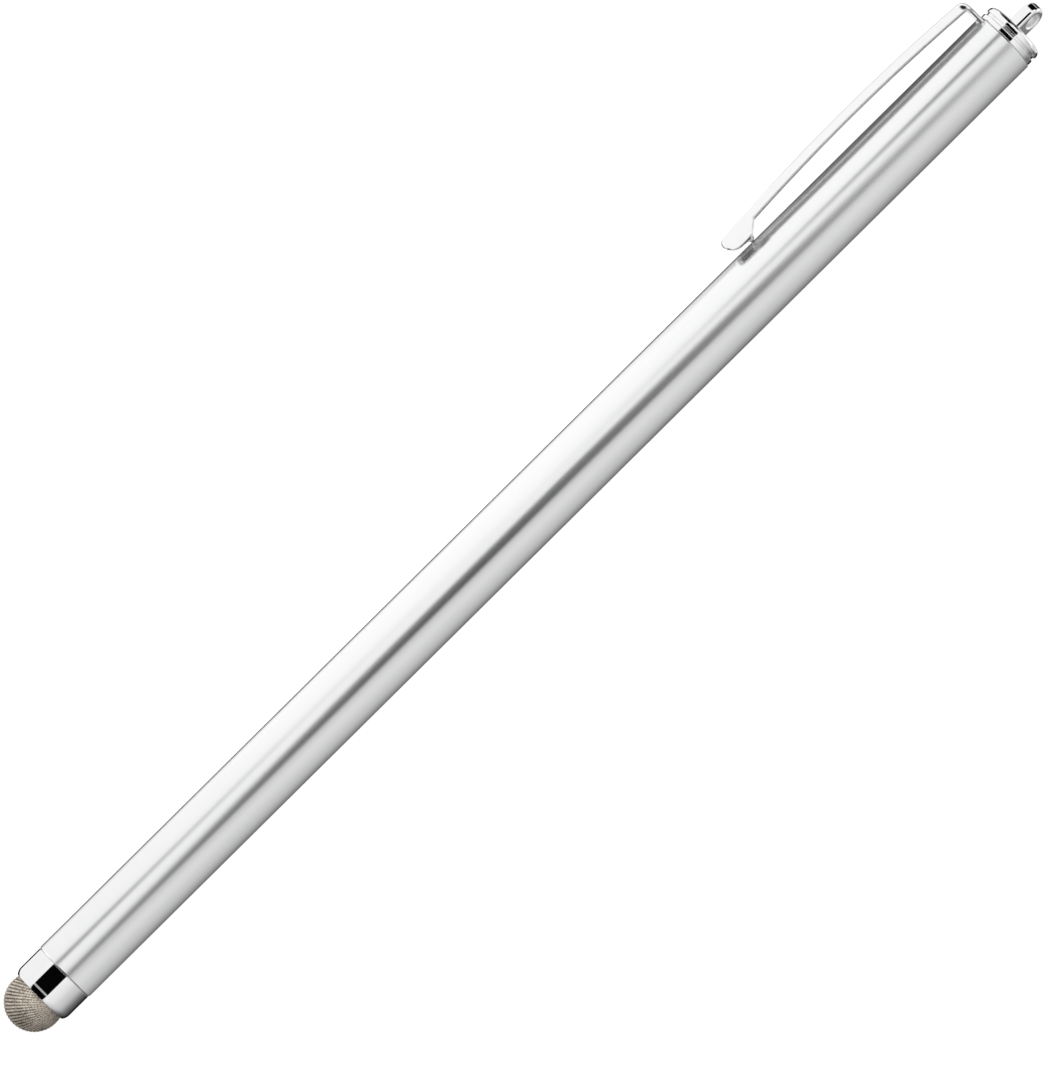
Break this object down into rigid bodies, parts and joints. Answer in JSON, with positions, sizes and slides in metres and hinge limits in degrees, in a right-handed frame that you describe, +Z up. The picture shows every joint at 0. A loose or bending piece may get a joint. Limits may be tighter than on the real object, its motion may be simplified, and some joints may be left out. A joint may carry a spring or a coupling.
{
  "type": "stylus pen",
  "caption": "Slim metal stylus with a knitted fibre tip, a sprung pocket clip and a lanyard eye on its end cap.",
  "frame": {"origin": "on the table under the middle of the pen's bounding box, the pen lying on its barrel and on one edge of its clip", "axes": "+X along the pen towards the knitted tip, +Z up, the clip on the -Y side"},
  "size_m": [0.1866, 0.0124, 0.009],
  "materials": {
    "knit": "knitted",
    "core_rubber": "soft",
    "ring_steel": "plain",
    "ferrule_chrome": "polished",
    "stud_brass": "turned",
    "barrel_aluminium": "satin",
    "plug_brass": "turned",
    "cap_chrome": "polished",
    "clip_chrome": "polished"
  },
  "bodies": {
    "barrel_body": {"barrel_tube": "barrel_aluminium", "front_bush": "stud_brass", "end_plug": "plug_brass", "end_cap": "cap_chrome"},
    "tip_body": {"tip_ferrule": "ferrule_chrome", "tip_stud": "stud_brass", "clamp_ring": "ring_steel", "dome_core": "core_rubber", "mesh_dome": "knit"},
    "clip_body": {"clip": "clip_chrome"}
  },
  "joints": [
    {"name": "tip_unscrew", "type": "slide", "parent": "barrel_body", "child": "tip_body", "axis": [1, 0, 0], "range_m": [0, 0.009]},
    {"name": "clip_flex", "type": "hinge", "parent": "barrel_body", "child": "clip_body", "pos_m": [-0.08647, -0.0021, 0.00293], "axis": [0, 0.3777, -0.9259], "range_deg": [0, 5], "stiffness_Nm_per_rad": 1.5}
  ]
}
